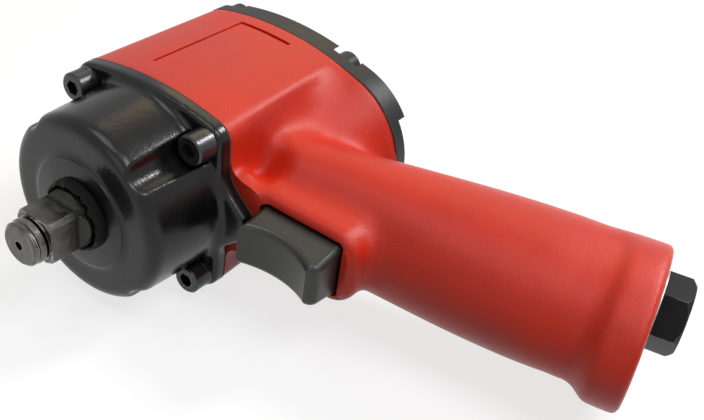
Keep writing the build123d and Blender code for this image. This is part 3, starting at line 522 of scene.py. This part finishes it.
# red casting: cast blends, hollows and shoulders over the machined solid
casting = {
    "voxel": 0.86, "front": 31.8, "rear": 82.4, "spare": 2.6,
    "evened": {"skin": 6, "lip": 2},
    "tail": {"foot": -51.0, "deep": 9, "half": 40},  # the rear joint's flat, above the handle
    "bore": 23.05, "margin": 0.8,
    "throttle": {"y": -53.0, "radius": 7.4, "from": 43}, "spool": {"y": -35.5, "radius": 7.0, "from": 45},
    "bolt": {"spot": 22.0, "radius": 3.3},
    "grip": {"x": 45.1, "lean": (0.98061, 0.19595)},
    "vent": {"back": 6.0, "side": 10.6, "radius": 3.5, "low": -120, "high": -54, "plug": (2.9, 22, 52)},
    "panel": {"front": 39.4, "rear": 76.6, "y": 8.8, "drop": 18.8, "long": 1.0, "short": 1.5,
              "floor": 28.8, "over": 4, "fill": (0.4, 0.6, 0.8)},
    "slot": {"low": -66.0, "high": -38.2, "half": 8.8, "deep": 43.9, "corner": 2.2, "past": 1},
    "mouth": {"x": 40, "y": -37},
    "hollow": {"spot": (41.2, -29.9, 13.8), "move": (2.2, 1.2, -7.6), "reach": 8.6, "evened": 50},
    "shoulder": {"spot": (36.2, -31.4, 11.8), "move": (0.0, -0.2, 2.4), "reach": 4.8, "evened": 3},
    "around": 1.15,
    "zones": (  # flank, handle root's blend, its crease and the handle's start, all evened more
        {"x": (37, 79), "y": (-13, 12), "side": 28, "evened": 90},
        {"x": (50, 80), "y": (-46, -27), "side": 9, "evened": 26},
        {"x": (50, 79.5), "y": (-36, -26), "side": 8, "evened": 90},
        {"x": (40, 120), "y": (-80, -44), "side": 0, "evened": 8},
    ),
    "collar": {"flare": (120.5, 11.0), "step": (126.2, 4.4), "finger": (123.8, 7.2), "dip": (110.2, 14),
               "narrow": 19.1, "wide": 20.6, "sink": 0.3, "depth": 24.2, "offset": 2.3, "palm": 12,
               "skin": 0.93, "from": 108.2, "rim": 133.5},
}


def gripPlace(x, y, grip):
    # how far a point lies behind the handle's axis, and how far along it
    lean = grip["lean"]
    return (x - grip["x"]) * lean[0] + y * lean[1], (x - grip["x"]) * lean[1] - y * lean[0]


def panelBars(panel, spare, low, high):
    # corner frame of two bars for each side of the barrel
    frames = []
    for bottom, top in ((low, high), (-high, -low)):
        half = panel["long"] / 2 + spare
        bar = block((panel["front"] - spare, panel["y"] - half, bottom),
                    (panel["rear"], panel["y"] + half, top))
        half = panel["short"] / 2 + spare
        leg = block((panel["rear"] - half, panel["y"] - panel["drop"] - spare, bottom),
                    (panel["rear"] + half, panel["y"] + panel["long"] / 2 + spare, top))
        combined(bar, leg, "UNION")
        frames.append(bar)
    return frames


def ventPlug(grip, vent, turn):
    # round bar that closes an exhaust bore where the cast hollow lies over it
    radius, start, end = vent["plug"]
    lean, middle = grip["lean"], (start + end) / 2
    x = grip["x"] - vent["back"] * lean[0] + middle * lean[1]
    y = -vent["back"] * lean[1] - middle * lean[0]
    upright = (math.pi / 2, 0, math.atan2(lean[1], lean[0]))
    return cylinder(radius, end - start, (x, y, vent["side"] * turn), upright, sides=32)


def machined(look, x, y, z):
    # points on bores, holes and the trigger's slot, which are left as they are
    side, slot, bolt, vent = np.abs(z), look["slot"], look["bolt"], look["vent"]
    margin = look["margin"]
    back = gripPlace(x, y, look["grip"])[0]
    inner = np.hypot(y, z) < look["bore"] + margin
    for hole in (look["throttle"], look["spool"]):
        inner |= (np.hypot(y - hole["y"], z) < hole["radius"]) & (x > hole["from"])
    inner |= ((side < slot["half"] + margin) & (y > slot["low"] - margin) & (y < slot["high"] + margin)
              & (x < slot["deep"] + slot["past"]))
    inner |= np.hypot(np.abs(y) - bolt["spot"], side - bolt["spot"]) < bolt["radius"]
    inner |= ((np.hypot(back + vent["back"], side - vent["side"]) < vent["radius"])
              & (y > vent["low"]) & (y < vent["high"]))
    return inner


def ease(value):
    value = np.clip(value, 0, 1)
    return value * value * (3 - 2 * value)


def stepCollar(piece, collar, grip):
    # the handle steps out to its end band over a short rise, after a slight dip of its sides
    spots = points(piece)
    back, along = gripPlace(spots[:, 0], spots[:, 1], grip)
    flare, step, finger, dip = (ease((along - start) / length) for start, length in
                                (collar[part] for part in ("flare", "step", "finger", "dip")))
    growth = collar["wide"] - collar["narrow"]
    have = collar["narrow"] + growth * flare
    want = collar["narrow"] + growth * step - collar["sink"] * dip * (1 - step)
    offset = collar["offset"] * flare
    oval = np.hypot((back + offset) / (collar["depth"] + offset), spots[:, 2] / have)
    skin = (oval > collar["skin"]) & (along > collar["from"])
    front = 1 - ease(back / collar["palm"])  # the palm side stays straight
    spots[skin, 2] *= (1 + (want / have - 1) * front)[skin]
    reach = 2 * collar["offset"]
    change = (collar["depth"] + reach * finger) / (collar["depth"] + reach * flare) - 1
    draw = np.where(skin & (back < 0), back * change, 0)
    spots[:, 0] += draw * grip["lean"][0]
    spots[:, 1] += draw * grip["lean"][1]
    piece.data.vertices.foreach_set("co", spots.ravel() / 1000)
    piece.data.update()


def makeCasting(look):
    piece = mergedCopy("motor_housing", "housingCasting")
    panel, slot, tail, grip = look["panel"], look["slot"], look["tail"], look["grip"]
    lengthen(piece, look["front"], -1, -look["spare"])
    lengthen(piece, look["rear"], 1, look["spare"])
    plugs = [ventPlug(grip, look["vent"], turn) for turn in (1, -1)]
    spare, below, above = panel["fill"]
    joined([piece] + plugs + panelBars(panel, spare, panel["floor"] - below, panel["floor"] + above))
    remeshed(piece, look["voxel"])

    x, y, z = points(piece).T
    side = np.abs(z)
    outer = ~machined(look, x, y, z)
    mouth = (x < look["mouth"]["x"]) & (y < look["mouth"]["y"])
    lip = outer & (mouth | (gripPlace(x, y, grip)[1] > look["collar"]["rim"]))
    soften(piece, outer & ~lip, look["evened"]["skin"])
    soften(piece, lip, look["evened"]["lip"])
    for form in (look["hollow"], look["shoulder"]):
        for turn in (1, -1):
            mirror = np.array((1, 1, turn))
            push(piece, form["spot"] * mirror, form["move"] * mirror, form["reach"])
        gap = np.hypot(np.hypot(x - form["spot"][0], y - form["spot"][1]), side - form["spot"][2])
        soften(piece, outer & ~lip & (gap < form["reach"] * look["around"]), form["evened"])
    for zone in look["zones"]:
        inside = (x > zone["x"][0]) & (x < zone["x"][1]) & (y > zone["y"][0]) & (y < zone["y"][1])
        soften(piece, outer & inside & (side >= zone["side"]), zone["evened"])
    soften(piece, outer & ~lip, look["evened"]["skin"])
    soften(piece, lip, look["evened"]["lip"])
    stepCollar(piece, look["collar"], grip)

    cutters = panelBars(panel, 0, panel["floor"], panel["floor"] + panel["over"])
    cutters.append(roundedBlock((look["front"] - slot["past"], slot["low"], -slot["half"]),
                                (slot["deep"], slot["high"], slot["half"]), slot["corner"]))
    cutters.append(block((look["rear"], tail["foot"], -tail["half"]),
                         (look["rear"] + tail["deep"], tail["half"], tail["half"])))
    trim(piece, look["front"], -1)
    combined(piece, joined(cutters), "DIFFERENCE")
    shown(piece, "housing", "housing_red", "motor_housing")
    return piece


housingCasting = makeCasting(casting)
print("casting: %d faces" % len(housingCasting.data.polygons))

# hammer case: the edges of its bolt channels, face and flange rounded as the paint leaves them
hammerCase = {
    "voxel": 0.56, "joint": 31.3, "face": 2.9, "spare": 2.0, "evened": 7,
    "bores": ({"radius": 22.4, "from": 8.6}, {"radius": 10.6, "from": 3.6}),
    "boss": {"radius": 16.4, "hole": 10.05, "proud": 0.06, "deep": 1.3, "edge": 0.32,
             "sides": 160, "past": 1},
}


def bossDisc(boss, face):
    # flat disc with a broken front edge, holed for the bush
    front, rear = face - boss["proud"], face + boss["deep"]
    middle, sideways = ((front + rear) / 2, 0, 0), (0, math.pi / 2, 0)
    disc = cylinder(boss["radius"], rear - front, middle, sideways, boss["sides"])
    bevelEdges(disc, lambda start, end: max(abs(start.x - front), abs(end.x - front)) < flushGap,
               boss["edge"], segments=3)
    hole = cylinder(boss["hole"], rear - front + 2 * boss["past"], middle, sideways, boss["sides"])
    combined(disc, hole, "DIFFERENCE")
    return disc


def makeCase(look):
    piece = mergedCopy("hammer_case", "hammerCaseCasting")
    lengthen(piece, look["joint"], 1, look["spare"])
    remeshed(piece, look["voxel"])
    x, y, z = points(piece).T
    outer = np.ones(len(x), bool)
    for bore in look["bores"]:
        outer &= (np.hypot(y, z) >= bore["radius"]) | (x <= bore["from"])
    soften(piece, outer, look["evened"])
    trim(piece, look["joint"], 1)
    combined(piece, bossDisc(look["boss"], look["face"]), "UNION")
    shown(piece, "housing", "case_black", "hammer_case")
    return piece


caseCasting = makeCase(hammerCase)
print("hammer case: %d faces" % len(caseCasting.data.polygons))

# ragged collar of old grease on the case face, round the anvil shaft, its dark colour and reach also
# painted shade round the shaft
greaseShadeCollar = {"x": 2.9, "inner": 8.6, "outer": 10.5, "height": 2.9, "steps": 120, "round": 20,
                "ragged": 0.32, "lumps": 0.6, "crumbs": 2.9, "crumbShare": 0.6, "waves": 0.9, "waver": 0.05,
                "sunk": 0.1}


def makeGreaseShadeCollar(look):
    bpy.ops.object.select_all(action="DESELECT")
    bpy.ops.mesh.primitive_torus_add(major_segments=look["steps"], minor_segments=look["round"],
                                     rotation=(0, math.pi / 2, 0),
                                     major_radius=(look["inner"] + look["outer"]) / 2000,
                                     minor_radius=(look["outer"] - look["inner"]) / 2000)
    piece = bpy.context.object
    piece.name = piece.data.name = "greaseShadeCollar"
    bpy.ops.object.transform_apply(location=True, rotation=True, scale=True)
    high = look["height"] / (look["outer"] - look["inner"]) * 2
    for vertex, (x, y, z) in zip(piece.data.vertices, points(piece)):
        spot = Vector((x, y, z))
        lump = noise.noise(spot * look["lumps"]) + look["crumbShare"] * noise.noise(spot * look["crumbs"])
        tall = max(-x, 0) * high * (1 + look["ragged"] * lump)
        out = 1 + look["waver"] * look["ragged"] * noise.noise(Vector((z, x, y)) * look["waves"])
        vertex.co = Vector((look["x"] - tall + max(x, 0) * look["sunk"], y * out, z * out)) / 1000
    piece.data.materials.append(finishes["oldGreaseShade"])
    applied(piece, "SUBSURF", {"levels": 1, "render_levels": 1})
    workOn(piece)
    bpy.ops.object.shade_smooth()
    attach(piece, "housing")
    return piece


greaseShadePiece = makeGreaseShadeCollar(greaseShadeCollar)
print("grease collar: %d faces" % len(greaseShadePiece.data.polygons))


def makeSpring():
    piece = mergedCopy("throttle_spring", "throttleSpring")
    shown(piece, "housing", "satin_steel", "throttle_spring")
    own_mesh(piece)
    return piece


springPiece = makeSpring()
print("throttle spring: %d faces" % len(springPiece.data.polygons))

# floor, backdrop and lamps
stage = {"size": 4.0, "colour": (0.28, 0.28, 0.28, 1), "lift": 0.75, "fill": 0.10}
lamps = {
    "mainLamp": {"place": (0.02, -0.44, 0.69), "size": 0.36, "power": 2.7, "tone": (1.0, 1.0, 1.0)},
    "topLamp": {"place": (-0.14, 0.12, 0.75), "size": 0.40, "power": 1.3, "tone": (1.0, 1.0, 1.0)},
    "keyLamp": {"place": (0.53, -0.28, 0.52), "size": 0.16, "power": 3.3, "tone": (1.0, 1.0, 1.0)},
    "warmLamp": {"place": (0.57, 0.25, 0.52), "size": 0.40, "power": 0.8, "tone": (1.0, 0.75, 0.40)},
    "sideLamp": {"place": (-0.60, -0.10, 0.35), "size": 0.40, "power": 0.4, "tone": (1.0, 1.0, 1.0)},
}
middle = (cadBox[0] + cadBox[1]) / 2
bpy.ops.object.select_all(action="DESELECT")
bpy.ops.mesh.primitive_plane_add(size=stage["size"], location=(middle.x, middle.y, cadBox[0].z))
floor = bpy.context.object
floor.name = "floor"
bpy.ops.object.transform_apply(location=True)


def shownRay(bench):
    # 1 for what the camera sees, straight or in a reflection, and 0 for light on the object
    kinds = ("Is Camera Ray", "Is Glossy Ray", "Is Transmission Ray")
    rays = [bench.make("LightPath", out=kind) for kind in kinds]
    return bench.calc("MINIMUM", rays[0] + rays[1] + rays[2], 1.0)


floorFinish, bench = openFinish("paleFloor")
matt = bench.make("BsdfDiffuse", None, {"Color": stage["colour"]})
lift = bench.make("Emission", None, {"Strength": shownRay(bench) * stage["lift"]})
bench.make("OutputMaterial", None, {"Surface": bench.make("AddShader", None, {0: matt, 1: lift})})
floor.data.materials.append(floorFinish)

world = bpy.data.worlds.new("studio")
world.use_nodes = True
world.node_tree.nodes.clear()
bench = Sock(world.node_tree)
seen = shownRay(bench)
sky = bench.make("Background", None, {"Strength": seen + (1 - seen) * stage["fill"]})
bench.make("OutputWorld", None, {"Surface": sky})
scene.world = world

for name, lamp in lamps.items():
    data = bpy.data.lights.new(name, "AREA")
    data.size = lamp["size"]
    data.energy = lamp["power"]
    data.color = lamp["tone"]
    light = bpy.data.objects.new(name, data)
    light.location = lamp["place"]
    light.rotation_euler = (middle - Vector(lamp["place"])).to_track_quat("-Z", "Y").to_euler()
    scene.collection.objects.link(light)
print("stage: floor at %.4f m, %d lamps" % (cadBox[0].z, len(lamps)))

# camera fitted to the photograph, with its focal length and width in pixels
view = {"place": (-0.130772, -0.163783, 0.158809), "right": (0.58113, -0.80484, 0.12049),
        "up": (0.42295, 0.42518, 0.80021), "ahead": (0.69527, 0.41406, -0.58749),
        "focal": 947.27, "wide": 704, "sensor": 36.0, "near": 0.01}
cameraData = bpy.data.cameras.new("photoCamera")
cameraData.sensor_width = view["sensor"]
cameraData.lens = view["sensor"] * view["focal"] / view["wide"]
cameraData.clip_start = view["near"]
camera = bpy.data.objects.new("photoCamera", cameraData)
turn = Matrix((view["right"], view["up"], [-v for v in view["ahead"]])).transposed()
camera.matrix_world = Matrix.Translation(view["place"]) @ turn.to_4x4()
scene.collection.objects.link(camera)
scene.camera = camera
scene.view_settings.view_transform = "Standard"
print("camera: lens %.2f mm" % cameraData.lens)
